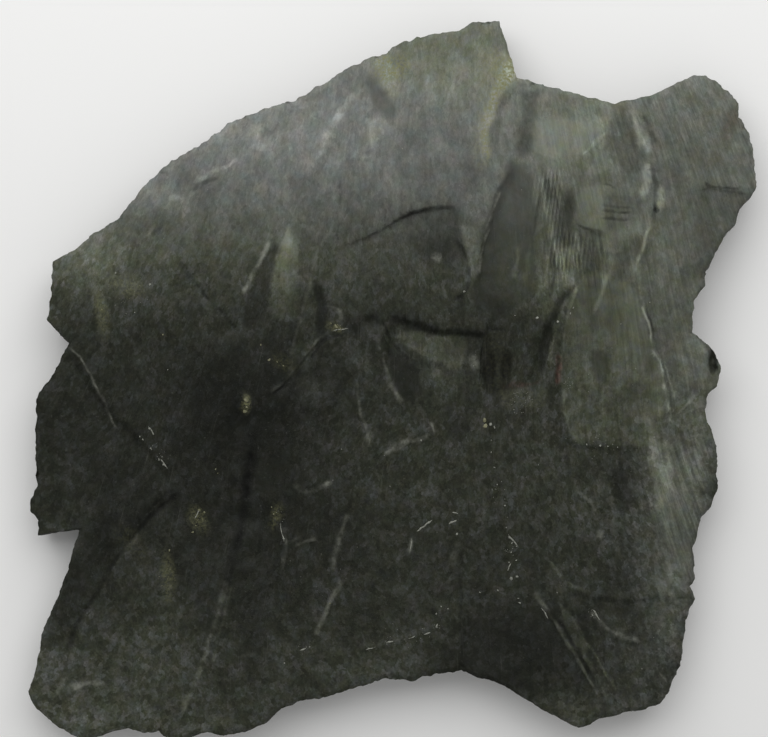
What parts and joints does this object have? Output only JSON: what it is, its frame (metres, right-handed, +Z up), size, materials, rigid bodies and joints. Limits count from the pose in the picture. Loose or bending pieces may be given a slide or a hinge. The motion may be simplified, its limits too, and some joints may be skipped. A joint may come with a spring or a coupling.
{
  "type": "calamites stem fossil slab",
  "caption": "Broken slab of black shale lying on its back, with the ribbed mould of a calamites stem on its layered upper face; rests on a flat back.",
  "frame": {"origin": "middle of the underside: the centre of the bounding box in X and Y, at the height of the flat back", "axes": "+Z up, out of the fossil face; +Y toward the peaked end of the slab, which is the top when it is shown upright; +X to the right of someone who looks down on the fossil face with +Y away from them"},
  "size_m": [0.1926, 0.1904, 0.0192],
  "materials": {
    "shale": "black shale, matt to faintly silky on the split face, dull on the broken edge"
  },
  "bodies": {
    "root": {"fossil_slab": "shale"}
  },
  "joints": []
}
